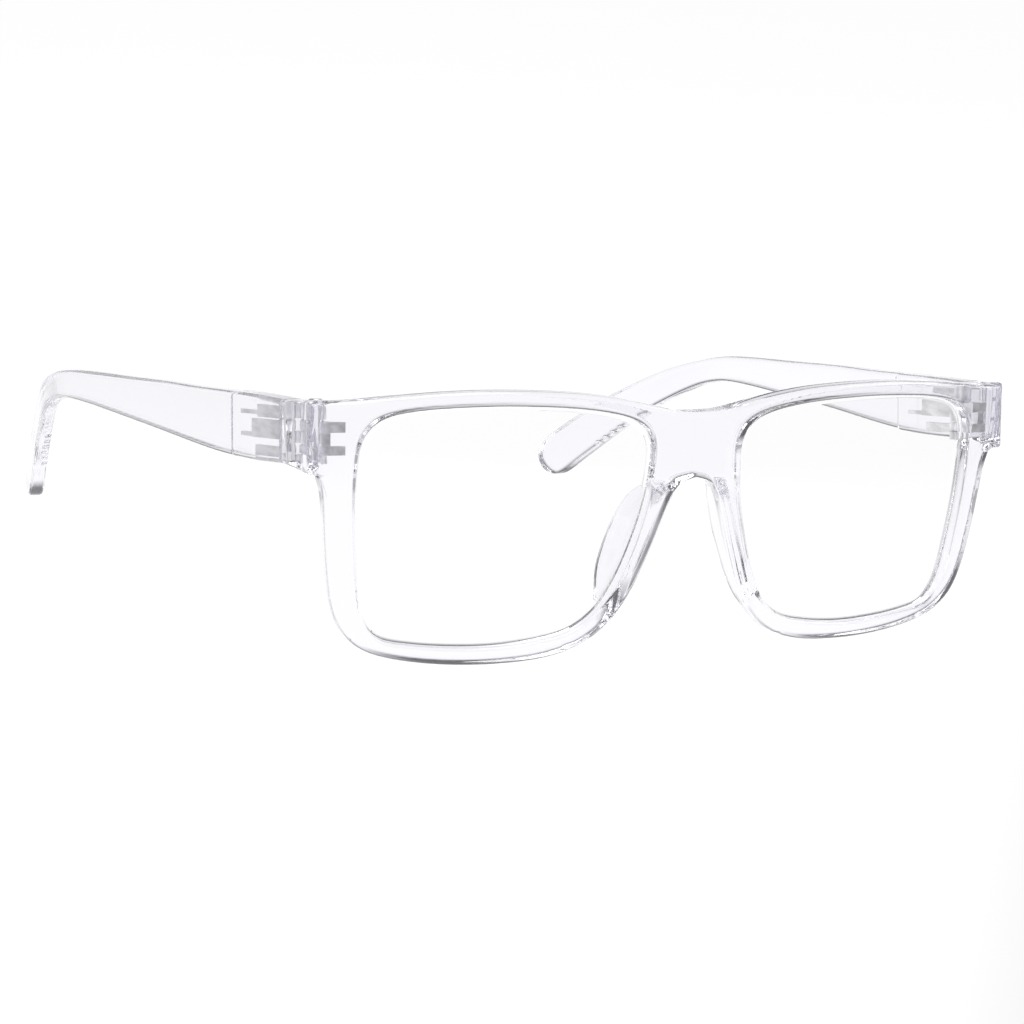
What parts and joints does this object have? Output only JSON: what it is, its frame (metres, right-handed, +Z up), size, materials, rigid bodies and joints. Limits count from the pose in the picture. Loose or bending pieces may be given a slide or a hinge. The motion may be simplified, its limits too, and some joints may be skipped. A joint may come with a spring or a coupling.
{
  "type": "eyeglasses",
  "caption": "Full-rim rectangular eyeglasses in clear plastic with moulded-in nose pads, clear lenses and folding temples on metal barrel hinges.",
  "frame": {"origin": "middle of the bounding box's bottom face, on the plane that the rims and the temple tips stand on", "axes": "+X to the wearer's left, +Y from the lenses back towards the ears, +Z up"},
  "size_m": [0.15, 0.1458, 0.0467],
  "materials": {
    "clear_plastic": "polished, clear with a faint lavender tint",
    "lens_plastic": "polished, clear",
    "hinge_metal": "bright, nickel silver"
  },
  "bodies": {
    "front": {"front_frame": "clear_plastic", "lens_left": "lens_plastic", "lens_right": "lens_plastic", "front_hinge_left": "hinge_metal", "front_hinge_right": "hinge_metal", "hinge_screw_left": "hinge_metal", "hinge_screw_right": "hinge_metal"},
    "temple_left": {"temple_left": "clear_plastic", "temple_hinge_left": "hinge_metal"},
    "temple_right": {"temple_right": "clear_plastic", "temple_hinge_right": "hinge_metal"}
  },
  "joints": [
    {"name": "temple_left_fold", "type": "hinge", "parent": "front", "child": "temple_left", "pos_m": [0.0662, -0.05813, 0.0385], "axis": [0, 0.1488, 0.9889], "range_deg": [0, 87]},
    {"name": "temple_right_fold", "type": "hinge", "parent": "front", "child": "temple_right", "pos_m": [-0.0662, -0.05813, 0.0385], "axis": [0, -0.1488, -0.9889], "range_deg": [0, 70]}
  ]
}
